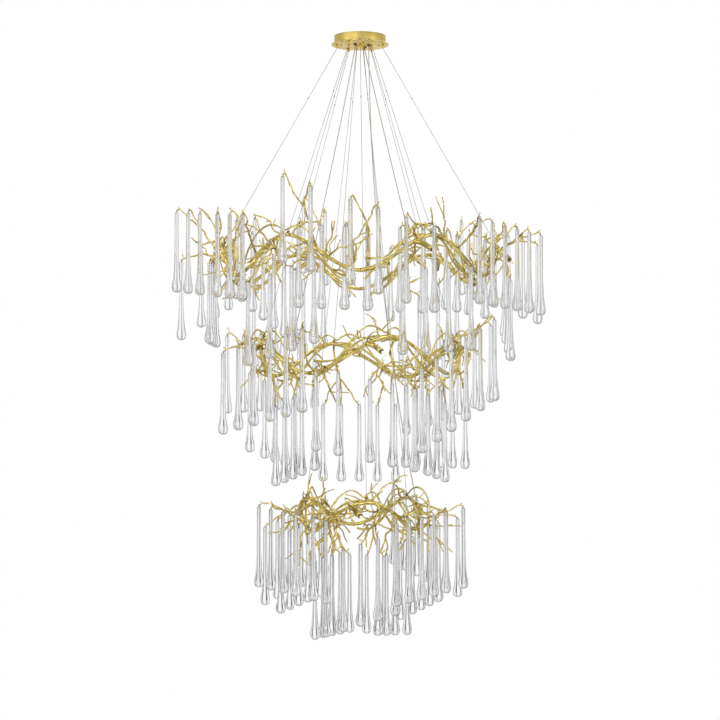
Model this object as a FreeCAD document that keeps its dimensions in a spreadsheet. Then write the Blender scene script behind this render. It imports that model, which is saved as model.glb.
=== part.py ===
"""Three-tier crystal chandelier, 1.2 m wide and 1.94 m high.

A round ceiling canopy carries thirteen taut steel wires. They hold three rings of gilt
branches, one below the other and each smaller than the one above. A ring is a tube that
waves up and down, made as a few castings end to end. Twigs fork from it, and a long glass
drop hangs from the tip of every twig. The lengths are millimetres, +Z is up, and the
origin is the centre of the canopy's top face, where it meets the ceiling.

Angles are degrees round +Z, from the front (-Y) towards +X.
"""
import FreeCAD, Part

import math
import os
from dataclasses import dataclass

import Sketcher

Vector = FreeCAD.Vector
UP = Vector(0, 0, 1)

# Every driving size, in millimetres. Heights are measured down from the ceiling.
DIMENSIONS = {
    # Canopy: crossbar, drum and face plate
    "bracket_clearance": 6.0,
    "bracket_half_width": 22.0,
    "bracket_thickness": 3.0,
    "ceiling_screw_reach": 40.0,
    "ceiling_hole_radius": 2.75,
    "cable_hole_radius": 8.0,
    "drum_radius": 82.5,
    "drum_wall": 1.5,
    "drum_height": 27.0,
    "plate_radius": 92.0,
    "plate_thickness": 3.0,
    "canopy_screw_reach": 60.0,
    "canopy_screw_radius": 2.0,
    "canopy_screw_clearance": 0.15,
    "canopy_head_radius": 4.0,
    "canopy_head_height": 2.4,
    # Electrical pieces inside the drum
    "driver_length": 88.0,
    "driver_width": 34.0,
    "driver_height": 19.0,
    "driver_corner": 4.0,
    "driver_offset": 27.0,
    "terminal_length": 36.0,
    "terminal_width": 14.0,
    "terminal_height": 11.0,
    "terminal_offset": 17.0,
    "terminal_slot_width": 3.0,
    "terminal_slot_depth": 4.0,
    # Suspension
    "grip_radius": 4.2,
    "grip_height": 10.0,
    "gland_radius": 6.0,
    "gland_height": 8.0,
    "wire_radius": 0.7,
    "cable_radius": 1.6,
    "cord_clearance": 0.3,
    "upper_grip_circle": 74.0,
    "middle_grip_circle": 38.0,
    "lower_grip_circle": 12.0,
    "gland_circle": 30.0,
    "lug_radius": 4.6,
    "lug_reach": 9.0,
    # Branch rings
    "stem_radius": 7.5,
    "vine_radius": 4.2,
    "twig_radius": 3.3,
    "tip_radius": 2.8,
    "tip_beak": 10.0,
    "twig_bow": 14.0,
    "twig_bow_scatter": 8.0,
    "twig_kink": 9.0,
    "weld_clearance": 0.3,
    "upper_ring_radius": 440.0,
    "upper_ring_height": 730.0,
    "upper_ring_wave": 55.0,
    "middle_ring_radius": 320.0,
    "middle_ring_height": 1035.0,
    "middle_ring_wave": 55.0,
    "lower_ring_radius": 190.0,
    "lower_ring_height": 1535.0,
    "lower_ring_wave": 45.0,
    "upper_cable_sag": 4.0,
    "middle_cable_sag": 10.0,
    "lower_cable_sag": 36.0,
    # Lamps
    "lamp_tube_radius": 8.5,
    "lamp_tube_length": 62.0,
    "socket_radius": 6.5,
    "socket_length": 5.0,
    "bulb_radius": 5.0,
    "bulb_length": 20.0,
    # Glass drops
    "drop_length": 256.0,
    "drop_top_radius": 6.2,
    "drop_neck_radius": 6.7,
    "drop_neck_length": 150.0,
    "drop_bulb_radius": 16.0,
    "drop_bulb_depth": 234.0,
    "drop_clearance": 0.3,
    # Rows of drops: distance of the row's middle from the centre, depth, spacing and the
    # most that a line stands above or below the row's depth
    "upper_outer_radius": 538.0,
    "upper_outer_height": 612.0,
    "upper_outer_pitch": 92.0,
    "upper_outer_scatter": 40.0,
    "upper_under_radius": 474.0,
    "upper_under_height": 772.0,
    "upper_under_pitch": 86.0,
    "upper_under_scatter": 34.0,
    "upper_inner_radius": 352.0,
    "upper_inner_height": 650.0,
    "upper_inner_pitch": 74.0,
    "upper_inner_scatter": 34.0,
    "middle_outer_radius": 425.0,
    "middle_outer_height": 968.0,
    "middle_outer_pitch": 78.0,
    "middle_outer_scatter": 34.0,
    "middle_under_radius": 318.0,
    "middle_under_height": 1118.0,
    "middle_under_pitch": 74.0,
    "middle_under_scatter": 25.0,
    "middle_inner_radius": 240.0,
    "middle_inner_height": 1165.0,
    "middle_inner_pitch": 64.0,
    "middle_inner_scatter": 26.0,
    "lower_outer_radius": 303.0,
    "lower_outer_height": 1524.0,
    "lower_outer_pitch": 60.0,
    "lower_outer_scatter": 26.0,
    "lower_under_radius": 226.0,
    "lower_under_height": 1604.0,
    "lower_under_pitch": 60.0,
    "lower_under_scatter": 22.0,
    "lower_inner_radius": 118.0,
    "lower_inner_height": 1668.0,
    "lower_inner_pitch": 60.0,
    "lower_inner_scatter": 10.0,
}


@dataclass(frozen=True)
class DropRow:
    """Drops that hang in straight lines, a few to a line, round one tier."""

    name: str
    lines: int
    drops: int
    start: float
    slope: float
    seed: int


@dataclass(frozen=True)
class Tier:
    """One ring of branches: its castings, the angle where they start and its drops."""

    name: str
    castings: int
    start: float
    gland_angle: float
    cable_angle: float
    rows: tuple


TIERS = (
    Tier("upper", 6, 0.0, 150.0, 155.0, (
        DropRow("upper_outer", 6, 6, 0.0, 0.62, 2),
        DropRow("upper_under", 6, 4, 30.0, 0.55, 9),
        DropRow("upper_inner", 3, 6, 0.0, 0.46, 25),
    )),
    Tier("middle", 4, -29.0, -30.0, -45.0, (
        DropRow("middle_outer", 4, 6, 45.0, 0.50, 21),
        DropRow("middle_under", 3, 5, 3.0, 0.46, 15),
        DropRow("middle_inner", 3, 5, 60.0, 0.44, 15),
    )),
    Tier("lower", 3, -54.0, 70.0, 104.0, (
        DropRow("lower_outer", 4, 6, 45.0, 0.40, 14),
        DropRow("lower_under", 3, 5, 0.0, 0.42, 37),
        DropRow("lower_inner", 3, 4, 60.0, 0.30, 20),
    )),
)

DROP_SIDES = 5
SCREW_SIDES = 8
STEM_SIDES = 6
LUG_SIDES = 4
VINE_SIDES = 3
TWIG_SIDES = 3
STEM_RUNS = 6
CABLE_RUNS = 5
CORD_SIDES = 4
GOLDEN = 0.618034
ROOT_LEAN = 7.0
ROOT_MARGIN = 3.0
FORK_SHARE = 0.58
UNEVENNESS = 0.2

DOC = FreeCAD.newDocument("crystal_chandelier")
SHEET = DOC.addObject("Spreadsheet::Sheet", "Sizes")


def fill_sheet():
    """Write each driving size into a cell with its own alias."""
    for row, (alias, value) in enumerate(DIMENSIONS.items(), start=1):
        SHEET.set(f"A{row}", alias)
        SHEET.set(f"B{row}", str(value))
        SHEET.setAlias(f"B{row}", alias)
    DOC.recompute()


def length(terms):
    """Value of a sum of sizes such as "drum_radius - drum_wall"."""
    total = 0.0
    sign = 1.0
    for word in terms.split():
        if word == "+":
            sign = 1.0
        elif word == "-":
            sign = -1.0
        else:
            total += sign * getattr(SHEET, word)
    return total


def formula(terms):
    """The same sum, as an expression bound to the sheet's cells."""
    words = [word if word in "+-" else f"Sizes.{word}" for word in terms.split()]
    return " ".join(words)


# ---------------------------------------------------------------- sketches and bodies


def new_body(name):
    """Empty body that will hold one sub-part."""
    body = DOC.addObject("PartDesign::Body", name)
    body.Label = name
    return body


def new_sketch(body, name, role):
    """Sketch on one of the body's own origin planes."""
    plane = next(item for item in body.Origin.OriginFeatures if item.Role == role)
    sketch = body.newObject("Sketcher::SketchObject", name)
    sketch.AttachmentSupport = [(plane, "")]
    sketch.MapMode = "FlatFace"
    return sketch


def hold(sketch, kind, geometry, point, terms):
    """Fix a point's distance from the sketch's origin, or its place on an axis."""
    axis = -2 if kind == "DistanceX" else -1
    if terms == "":
        sketch.addConstraint(Sketcher.Constraint("PointOnObject", geometry, point, axis))
        return
    number = sketch.addConstraint(
        Sketcher.Constraint(kind, -1, 1, geometry, point, length(terms)))
    sketch.setExpression(f"Constraints[{number}]", formula(terms))


def add_outline(sketch, corners):
    """Closed outline through corners, each a pair of sums; an empty sum is on the axis."""
    places = [Vector(length(across), length(along), 0) for across, along in corners]
    first = sketch.GeometryCount
    for here, there in zip(places, places[1:] + places[:1]):
        sketch.addGeometry(Part.LineSegment(here, there), False)
    count = len(corners)
    for index in range(count):
        following = first + (index + 1) % count
        sketch.addConstraint(
            Sketcher.Constraint("Coincident", first + index, 2, following, 1))
    for index, (across, along) in enumerate(corners):
        hold(sketch, "DistanceX", first + index, 1, across)
        hold(sketch, "DistanceY", first + index, 1, along)


def add_circle(sketch, across, along, radius):
    """Circle whose centre and radius are sums of sizes."""
    centre = Vector(length(across), length(along), 0)
    index = sketch.addGeometry(Part.Circle(centre, UP, length(radius)), False)
    hold(sketch, "DistanceX", index, 3, across)
    hold(sketch, "DistanceY", index, 3, along)
    number = sketch.addConstraint(Sketcher.Constraint("Radius", index, length(radius)))
    sketch.setExpression(f"Constraints[{number}]", formula(radius))


def box_corners(low_x, high_x, low_y, high_y):
    """Four corners of a rectangle, in order."""
    return [(low_x, low_y), (high_x, low_y), (high_x, high_y), (low_x, high_y)]


def pad(body, sketch, name, depth, reverse):
    """Pad a sketch by a sum of sizes."""
    feature = body.newObject("PartDesign::Pad", name)
    feature.Profile = sketch
    feature.Reversed = reverse
    feature.setExpression("Length", formula(depth))
    return feature


def through_pocket(body, sketch, name):
    """Cut a sketch's shapes all the way through the body, both ways."""
    feature = body.newObject("PartDesign::Pocket", name)
    feature.Profile = sketch
    feature.Type = "ThroughAll"
    feature.Midplane = True
    return feature


def revolve(body, sketch, name):
    """Full turn of a profile about the sketch's vertical axis."""
    feature = body.newObject("PartDesign::Revolution", name)
    feature.Profile = sketch
    feature.ReferenceAxis = (sketch, ["V_Axis"])
    feature.Angle = 360.0
    return feature


# ---------------------------------------------------------------- canopy


def make_bracket():
    """Steel crossbar with two ceiling screw holes and a hole for the supply cable."""
    body = new_body("ceiling_bracket")
    bar = new_sketch(body, "bar_outline", "XY_Plane")
    add_outline(bar, box_corners("- drum_radius + drum_wall + bracket_clearance",
                                 "drum_radius - drum_wall - bracket_clearance",
                                 "- bracket_half_width", "bracket_half_width"))
    pad(body, bar, "bar", "bracket_thickness", True)

    holes = new_sketch(body, "bar_holes", "XY_Plane")
    add_circle(holes, "", "", "cable_hole_radius")
    for side in ("", "- "):
        add_circle(holes, side + "ceiling_screw_reach", "", "ceiling_hole_radius")
        add_circle(holes, side + "canopy_screw_reach", "",
                   "canopy_screw_radius + canopy_screw_clearance")
    body.Tip = through_pocket(body, holes, "holes")
    return body


def make_drum():
    """Brushed drum that hides the bracket and the driver."""
    body = new_body("canopy_drum")
    profile = new_sketch(body, "drum_profile", "XZ_Plane")
    add_outline(profile, box_corners("drum_radius - drum_wall", "drum_radius",
                                     "- drum_height", ""))
    body.Tip = revolve(body, profile, "drum")
    return body


def make_face_plate():
    """Round plate under the drum, wider than it, that carries every wire."""
    body = new_body("canopy_face_plate")
    profile = new_sketch(body, "plate_profile", "XZ_Plane")
    add_outline(profile, box_corners("", "plate_radius", "- drum_height - plate_thickness",
                                     "- drum_height"))
    revolve(body, profile, "plate")
    holes = new_sketch(body, "plate_holes", "XY_Plane")
    for side in ("", "- "):
        add_circle(holes, side + "canopy_screw_reach", "",
                   "canopy_screw_radius + canopy_screw_clearance")
    body.Tip = through_pocket(body, holes, "screw_holes")
    return body


def make_canopy_screws():
    """Two screws that pull the face plate and drum up to the bracket."""
    under = length("drum_height + plate_thickness")
    outline = [(under + length("canopy_head_height"), "canopy_head_radius"),
               (under, "canopy_head_radius"), (under, "canopy_screw_radius"),
               (0, "canopy_screw_radius")]
    rings = [level_ring(depth, length(radius), SCREW_SIDES) for depth, radius in outline]
    loops = [rings[0], rings[-1]]
    for lower, upper in zip(rings, rings[1:]):
        loops += side_loops(lower, upper)
    screws = []
    for side in (-1, 1):
        screw = polyhedron(loops)
        screw.translate(Vector(side * length("canopy_screw_reach"), 0, 0))
        screws.append(screw)
    return add_node("canopy_screws", screws)


def make_driver():
    """Lamp driver: a box with bevelled corners hung from the crossbar."""
    body = new_body("led_driver")
    outline = new_sketch(body, "driver_outline", "XY_Plane")
    add_outline(outline, box_corners("- driver_length", "", "", "driver_width"))
    box = pad(body, outline, "driver_box", "driver_height", True)
    DOC.recompute()
    bevel = body.newObject("PartDesign::Chamfer", "driver_edges")
    upright = [f"Edge{index + 1}" for index, edge in enumerate(box.Shape.Edges)
               if abs(edge.tangentAt(edge.FirstParameter).z) > 0.99]
    bevel.Base = (box, upright)
    bevel.setExpression("Size", formula("driver_corner"))
    body.Tip = bevel
    place(body, "x", "Sizes.driver_length / 2")
    place(body, "y", "Sizes.driver_offset - Sizes.driver_width / 2")
    place(body, "z", "-Sizes.bracket_thickness")
    return body


def make_terminal_block():
    """Screw terminals for the supply, with a slot between each pair of poles."""
    body = new_body("terminal_block")
    outline = new_sketch(body, "terminal_outline", "XY_Plane")
    add_outline(outline, box_corners("", "terminal_length", "", "terminal_width"))
    pad(body, outline, "terminal_box", "terminal_height", True)
    DOC.recompute()
    slots = new_sketch(body, "terminal_slots", "XZ_Plane")
    poles = 3
    for pole in range(1, poles):
        middle = length("terminal_length") * pole / poles
        half = length("terminal_slot_width") / 2
        floor = -length("terminal_height")
        roof = floor + length("terminal_slot_depth")
        add_slot(slots, middle - half, middle + half, floor, roof)
    body.Tip = through_pocket(body, slots, "pole_slots")
    place(body, "x", "-Sizes.terminal_length / 2")
    place(body, "y", "-Sizes.terminal_offset - Sizes.terminal_width / 2")
    place(body, "z", "-Sizes.bracket_thickness")
    return body


def add_slot(sketch, low_x, high_x, low_y, high_y):
    """Plain rectangle for a slot that opens at the bottom."""
    corners = [Vector(low_x, low_y, 0), Vector(high_x, low_y, 0),
               Vector(high_x, high_y, 0), Vector(low_x, high_y, 0)]
    for here, there in zip(corners, corners[1:] + corners[:1]):
        sketch.addGeometry(Part.LineSegment(here, there), False)


def place(body, axis, expression):
    """Bind one coordinate of a body's place."""
    body.setExpression(f".Placement.Base.{axis}", expression)


# ---------------------------------------------------------------- flat-sided solids


def add_node(name, solids):
    """Document object that holds one node's solids."""
    node = DOC.addObject("Part::Feature", name)
    node.Label = name
    node.Shape = solids[0] if len(solids) == 1 else Part.Compound(solids)
    return node


def polyhedron(loops):
    """Solid bounded by flat faces, each given by its corners."""
    faces = [Part.Face(Part.makePolygon(loop + loop[:1])) for loop in loops]
    solid = Part.Solid(Part.Shell(faces))
    if solid.Volume < 0:
        solid.reverse()
    return solid


def side_loops(lower, upper):
    """Four-cornered loops between two rings of corners."""
    count = len(lower)
    return [[lower[i], lower[(i + 1) % count], upper[(i + 1) % count], upper[i]]
            for i in range(count)]


def level_ring(depth, radius, sides):
    """Corners of a level regular polygon round the Z axis."""
    turn = 2 * math.pi / sides
    return [Vector(radius * math.cos(turn * i), radius * math.sin(turn * i), -depth)
            for i in range(sides)]


def mitred_tube(points, radius, sides, first_normal=None, last_normal=None):
    """Solid of one section along straight runs, mitred where they meet.

    The first corner of the section points down. The end normals tilt the end faces.
    """
    runs = [(there - here).normalize() for here, there in zip(points, points[1:])]
    normals = [first_normal or runs[0]]
    normals += [(before + after).normalize() for before, after in zip(runs, runs[1:])]
    normals.append(last_normal or runs[-1])
    low = UP * -1 if abs(runs[0].z) < 0.95 else Vector(1, 0, 0)
    low = (low - runs[0] * low.dot(runs[0])).normalize()
    side = runs[0].cross(low)
    turn = 2 * math.pi / sides
    ring = [points[0] + low * (radius * math.cos(turn * i)) + side * (radius * math.sin(turn * i))
            for i in range(sides)]
    rings = []
    for index, (point, normal) in enumerate(zip(points, normals)):
        run = runs[max(index - 1, 0)]
        ring = [corner + run * ((point - corner).dot(normal) / run.dot(normal))
                for corner in ring]
        rings.append(ring)
    loops = [rings[0], rings[-1]]
    for lower, upper in zip(rings, rings[1:]):
        loops += side_loops(lower, upper)
    return polyhedron(loops)


def seated(solid, carriers):
    """The part of a solid that stands clear of what it is welded to."""
    rest = solid.cut(carriers)
    return max(rest.Solids, key=lambda piece: piece.Volume)


# ---------------------------------------------------------------- branch rings


def radial(angle):
    """Level direction away from the centre."""
    turn = math.radians(angle)
    return Vector(math.sin(turn), -math.cos(turn), 0)


def tangent(angle):
    """Level direction along the ring, the way the angle grows."""
    turn = math.radians(angle)
    return Vector(math.cos(turn), math.sin(turn), 0)


def ring_point(tier, angle):
    """Point on a tier's waving ring; the castings meet in its troughs."""
    wave = math.cos(math.radians(tier.castings * (angle - tier.start)))
    depth = length(f"{tier.name}_ring_height") + wave * length(f"{tier.name}_ring_wave")
    return radial(angle) * length(f"{tier.name}_ring_radius") - UP * depth


def sector_angles(tier, index, low, high, runs):
    """Angles along one casting, from a low to a high share of its sector."""
    width = 360.0 / tier.castings
    first = tier.start + index * width
    return [first + width * (low + (high - low) * i / runs) for i in range(runs + 1)]


def make_stem(tier, index):
    """Main tube of a casting, from one trough of the wave to the next."""
    angles = sector_angles(tier, index, 0.0, 1.0, STEM_RUNS)
    points = [ring_point(tier, angle) for angle in angles]
    return mitred_tube(points, length("stem_radius"), STEM_SIDES,
                       tangent(angles[0]), tangent(angles[-1]))


def make_vine(tier, index):
    """Thinner tube that winds half way round the main tube of its casting."""
    angles = sector_angles(tier, index, 0.03, 0.97, STEM_RUNS)
    reach = length("stem_radius + vine_radius + weld_clearance")
    points = []
    for step, angle in enumerate(angles):
        turn = math.pi * step / STEM_RUNS + math.pi / 2
        offset = radial(angle) * (reach * math.cos(turn)) + UP * (reach * math.sin(turn))
        points.append(ring_point(tier, angle) + offset)
    return mitred_tube(points, length("vine_radius"), VINE_SIDES)


def crest_angle(tier, index):
    """Angle of a casting's crest, where its wire is fixed."""
    return tier.start + (index + 0.5) * 360.0 / tier.castings


def lug_top(tier, angle, anchor):
    """End of the lug that points from the ring to the wire's upper end."""
    foot = ring_point(tier, angle)
    pull = (anchor - foot).normalize()
    return foot + pull * length("stem_radius + lug_reach")


def grip_foot(tier, angle):
    """Centre of the lower end of the grip that holds a tier's wire."""
    under = length("drum_height + plate_thickness + grip_height")
    return radial(angle) * length(f"{tier.name}_grip_circle") - UP * under


def gland_foot(tier):
    """Centre of the lower end of the gland of a tier's power cable."""
    under = length("drum_height + plate_thickness + gland_height")
    return radial(tier.gland_angle) * length("gland_circle") - UP * under


def make_lug(tier, angle, anchor):
    """Short post on the ring that a wire or cable is fixed to."""
    foot = ring_point(tier, angle)
    return mitred_tube([foot, lug_top(tier, angle, anchor)], length("lug_radius"), LUG_SIDES)


def scattered(index):
    """Steady scatter between -1 and 1, another value for each index."""
    return 2 * ((index * GOLDEN) % 1.0) - 1


def line_frame(row, line):
    """Middle point and direction of the straight line that a row's drops hang from."""
    angle = row.start + line * 360.0 / row.lines
    offset = length(f"{row.name}_scatter") * scattered(line + row.seed)
    depth = length(f"{row.name}_height") + offset
    middle = radial(angle) * length(f"{row.name}_radius") - UP * depth
    lean = row.slope * scattered(2 * line + row.seed)
    return middle, (tangent(angle) + UP * lean).normalize()


def hook_points(row, line):
    """Points that the drops of one line hang from, unevenly spaced."""
    middle, along = line_frame(row, line)
    pitch = length(f"{row.name}_pitch")
    hooks = []
    for index in range(row.drops):
        shift = UNEVENNESS * scattered(3 * index + line + row.seed)
        station = index - (row.drops - 1) / 2 + shift
        hooks.append(middle + along * (station * pitch))
    return hooks


def angle_of(point):
    """Angle of a point round the centre."""
    return math.degrees(math.atan2(point.x, -point.y))


def knuckle_of(fork, tip):
    """Bend just above and inside a tip, so that the tip points down at its drop."""
    inward = Vector(fork.x - tip.x, fork.y - tip.y, 0).normalize()
    return tip + (inward + UP) * length("tip_beak")


def root_angle(tier, angle, lean):
    """Angle of a twig's foot: it leans, but stays clear of the ends of its casting."""
    width = 360.0 / tier.castings
    within = (angle - tier.start) % width
    leaning = min(max(within + lean, ROOT_MARGIN), width - ROOT_MARGIN)
    return angle - within + leaning


def make_twig(tier, hooks, seed):
    """Twig that rises from the ring and forks to the hooks of two or three drops.

    The first arm goes on from the trunk in one piece, and the others grow from its side.
    Every tip is cut level, just above its drop.
    """
    goal = Vector(0, 0, 0)
    for hook in hooks:
        goal = goal + hook * (1.0 / len(hooks))
    root = ring_point(tier, root_angle(tier, angle_of(goal), ROOT_LEAN * scattered(seed)))
    kink = tangent(angle_of(goal)) * (length("twig_kink") * scattered(seed + 5))
    rise = length("twig_bow") + length("twig_bow_scatter") * scattered(seed + 9)
    fork = root + (goal - root) * FORK_SHARE + UP * rise - kink
    first = hooks[seed % len(hooks)]
    trunk = mitred_tube([root, fork, knuckle_of(fork, first), first],
                        length("twig_radius"), TWIG_SIDES, None, UP)
    arms = [mitred_tube([fork, knuckle_of(fork, hook), hook], length("tip_radius"),
                        TWIG_SIDES, None, UP)
            for hook in hooks if hook is not first]
    return [trunk] + [seated(arm, [trunk]) for arm in arms]


def hook_pairs(hooks):
    """Neighbouring hooks in twos, with a three where the number is odd."""
    pairs = [hooks[i:i + 2] for i in range(0, len(hooks) - 1, 2)]
    if len(hooks) % 2:
        pairs[-1].append(hooks[-1])
    return pairs


def casting_of(tier, point):
    """Number of the casting whose sector holds a point."""
    share = (angle_of(point) - tier.start) / 360.0
    return int((share % 1.0) * tier.castings)


def twigs_by_casting(tier):
    """Every twig of a tier, sorted by the casting that it grows from."""
    sorted_twigs = [[] for _ in range(tier.castings)]
    seed = 0
    for row in tier.rows:
        for line in range(row.lines):
            for hooks in hook_pairs(hook_points(row, line)):
                seed += 1
                middle = hooks[0] + (hooks[-1] - hooks[0]) * 0.5
                sorted_twigs[casting_of(tier, middle)] += make_twig(tier, hooks, seed)
    return sorted_twigs


def lamp_frame(tier, index):
    """Root, bend, end and direction of a casting's lamp tube."""
    width = 360.0 / tier.castings
    angle = tier.start + (index + 0.36) * width
    root = ring_point(tier, angle)
    heading = (tangent(angle) * 0.8 + radial(angle) * 0.55 - UP * 0.25).normalize()
    bend = root + heading * (length("lamp_tube_length") * 0.45)
    heading = (heading + radial(angle) * 0.25 - UP * 0.45).normalize()
    end = bend + heading * (length("lamp_tube_length") * 0.55)
    return root, bend, end, heading


def make_tier(tier):
    """Nodes of one ring: each casting with its tubes, twigs, lugs and lamp tube."""
    twigs = twigs_by_casting(tier)
    cable_anchor = gland_foot(tier)
    for index in range(tier.castings):
        stem = make_stem(tier, index)
        vine = make_vine(tier, index)
        carriers = [stem, vine]
        crest = crest_angle(tier, index)
        welded = [make_lug(tier, crest, grip_foot(tier, crest))]
        cable_foot = ring_point(tier, tier.cable_angle)
        if casting_of(tier, cable_foot) == index:
            welded.append(make_lug(tier, tier.cable_angle, cable_anchor))
        root, bend, end, _ = lamp_frame(tier, index)
        welded.append(mitred_tube([root, bend, end], length("lamp_tube_radius"), STEM_SIDES))
        welded += twigs[index]
        solids = carriers + [seated(piece, carriers) for piece in welded]
        add_node(f"{tier.name}_branch_{index + 1}", solids)


# ---------------------------------------------------------------- lamps


def make_lamps():
    """Sockets at the ends of the lamp tubes, and the lit bulbs that stand in them."""
    sockets = []
    bulbs = []
    for tier in TIERS:
        for index in range(tier.castings):
            _, _, end, heading = lamp_frame(tier, index)
            rim = end + heading * length("socket_length")
            sockets.append(mitred_tube([end, rim], length("socket_radius"), STEM_SIDES))
            bulb_end = rim + heading * length("bulb_length")
            bulbs.append(mitred_tube([rim, bulb_end], length("bulb_radius"), STEM_SIDES))
    add_node("lamp_sockets", sockets)
    add_node("led_bulbs", bulbs)


# ---------------------------------------------------------------- suspension


def standing_prism(foot, radius, height):
    """Six-sided prism that rises from a point."""
    prism = polyhedron([level_ring(0, radius, 6), level_ring(-height, radius, 6)]
                       + side_loops(level_ring(0, radius, 6), level_ring(-height, radius, 6)))
    prism.translate(foot)
    return prism


def make_grips_and_wires():
    """Hexagonal grips under the face plate and the taut wires that they hold."""
    grips = []
    wires = []
    for tier in TIERS:
        for index in range(tier.castings):
            angle = crest_angle(tier, index)
            foot = grip_foot(tier, angle)
            grips.append(standing_prism(foot, length("grip_radius"), length("grip_height")))
            end = lug_top(tier, angle, foot)
            gap = length("cord_clearance")
            route = [foot - UP * gap, end + (foot - end).normalize() * gap]
            wires.append(mitred_tube(route, length("wire_radius"), CORD_SIDES, UP * -1))
    add_node("wire_grips", grips)
    add_node("suspension_wires", wires)


def cable_points(tier):
    """Route of a tier's power cable: it hangs a little inside the straight line."""
    foot = gland_foot(tier)
    end = lug_top(tier, tier.cable_angle, foot)
    end = end + (foot - end).normalize() * length("cord_clearance")
    top = foot - UP * length("cord_clearance")
    sag = length(f"{tier.name}_cable_sag")
    middle = (top + end) * 0.5 - radial(tier.cable_angle) * (2 * sag)
    points = []
    for step in range(CABLE_RUNS + 1):
        share = step / CABLE_RUNS
        points.append(top * (1 - share) ** 2 + middle * (2 * share * (1 - share))
                      + end * share ** 2)
    return points


def make_glands_and_cables():
    """Glands near the middle of the face plate and one power cable for each ring."""
    glands = [standing_prism(gland_foot(tier), length("gland_radius"), length("gland_height"))
              for tier in TIERS]
    cables = [mitred_tube(cable_points(tier), length("cable_radius"), CORD_SIDES, UP * -1)
              for tier in TIERS]
    add_node("cable_glands", glands)
    add_node("power_cables", cables)


# ---------------------------------------------------------------- glass drops


def make_drop():
    """One glass drop under the origin: a slim neck that swells to a round bulb."""
    rings = [level_ring(0, length("drop_top_radius"), DROP_SIDES),
             level_ring(length("drop_neck_length"), length("drop_neck_radius"), DROP_SIDES),
             level_ring(length("drop_bulb_depth"), length("drop_bulb_radius"), DROP_SIDES)]
    pole = UP * -length("drop_length")
    loops = [rings[0]]
    for upper, lower in zip(rings, rings[1:]):
        loops += side_loops(upper, lower)
    bottom = rings[-1]
    loops += [[bottom[i], bottom[(i + 1) % DROP_SIDES], pole] for i in range(DROP_SIDES)]
    return polyhedron(loops)


def make_drops():
    """Lines of drops, each line a node that swings about the line of its hooks."""
    drop = make_drop()
    for tier in TIERS:
        for row in tier.rows:
            for line in range(row.lines):
                solids = []
                for hook in hook_points(row, line):
                    copy = drop.copy()
                    copy.translate(hook - UP * length("drop_clearance"))
                    solids.append(copy)
                add_node(f"{row.name}_drops_{line + 1}", solids)


# ---------------------------------------------------------------- document


def check_and_export():
    """Stop on any failed object, then write each sub-part to its file."""
    DOC.recompute()
    for item in DOC.Objects:
        if "Invalid" in item.State or "Error" in item.State:
            raise RuntimeError(f"{item.Name} failed: {item.State}")
    nodes = [item for item in DOC.Objects
             if item.TypeId in ("PartDesign::Body", "Part::Feature")]
    for node in nodes:
        if node.Shape.isNull() or not node.Shape.isValid():
            raise RuntimeError(f"{node.Label} has no valid shape")
    os.makedirs("parts", exist_ok=True)
    for node in nodes:
        node.Shape.exportStep(f"parts/{node.Label}.step")
    print(len(nodes), "sub-parts,", sum(len(node.Shape.Solids) for node in nodes), "solids")


def main():
    """Build the chandelier from the ceiling down."""
    fill_sheet()
    make_bracket()
    make_drum()
    make_face_plate()
    make_canopy_screws()
    make_driver()
    make_terminal_block()
    make_grips_and_wires()
    make_glands_and_cables()
    for tier in TIERS:
        make_tier(tier)
    make_lamps()
    make_drops()
    check_and_export()


main()
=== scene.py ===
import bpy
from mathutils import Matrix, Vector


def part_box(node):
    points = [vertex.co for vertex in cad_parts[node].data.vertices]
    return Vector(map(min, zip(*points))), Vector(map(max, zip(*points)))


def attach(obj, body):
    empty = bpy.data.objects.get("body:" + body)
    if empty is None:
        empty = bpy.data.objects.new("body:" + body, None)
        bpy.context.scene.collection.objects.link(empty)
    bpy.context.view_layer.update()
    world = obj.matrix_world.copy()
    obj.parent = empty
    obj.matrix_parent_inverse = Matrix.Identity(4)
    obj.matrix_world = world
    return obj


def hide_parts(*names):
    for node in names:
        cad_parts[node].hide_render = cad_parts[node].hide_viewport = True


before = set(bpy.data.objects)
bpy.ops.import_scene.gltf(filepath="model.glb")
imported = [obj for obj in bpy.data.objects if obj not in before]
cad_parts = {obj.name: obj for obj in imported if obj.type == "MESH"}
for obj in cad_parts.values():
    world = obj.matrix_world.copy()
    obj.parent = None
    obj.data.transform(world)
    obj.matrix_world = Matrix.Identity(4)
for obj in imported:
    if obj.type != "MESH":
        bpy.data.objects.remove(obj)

"""Looks of a three-tier crystal chandelier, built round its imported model.

Lengths are metres, +Z is up, and the origin is the centre of the canopy's top face.
Angles are degrees round +Z, from the front (-Y) towards +X.
"""
import logging
import math
import random
from dataclasses import dataclass, field
from enum import Enum, IntEnum

import bmesh
import bpy
from bmesh.types import BMesh, BMFace, BMVert
from bpy.types import Material, Node, NodeSocket, NodeTree, Object
from mathutils import Matrix, Vector, noise

LOG = logging.getLogger("chandelier")
Outputs = bpy.types.bpy_prop_collection
UP = Vector((0.0, 0.0, 1.0))
FIXTURE = "fixture"
NOISE_SEED = 7
GOLDEN = 0.618034
MERGE = 1e-6


class Effect(Enum):
    """Node groups that several finishes share."""

    RELIEF = "cast_relief"
    TINT = "plating_tint"
    BRUSH = "brush_lines"
    # painted glints: speckles of painted reflection on the faces that look down
    GLITTER = "glitter"


class Sides(IntEnum):
    """How many sides each kind of tube has."""

    STEM = 14
    VINE = 9
    TWIG = 7
    SPUR = 6
    LUG = 10
    LAMP_TUBE = 16
    WIRE = 8


# ---- shader nodes


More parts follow.
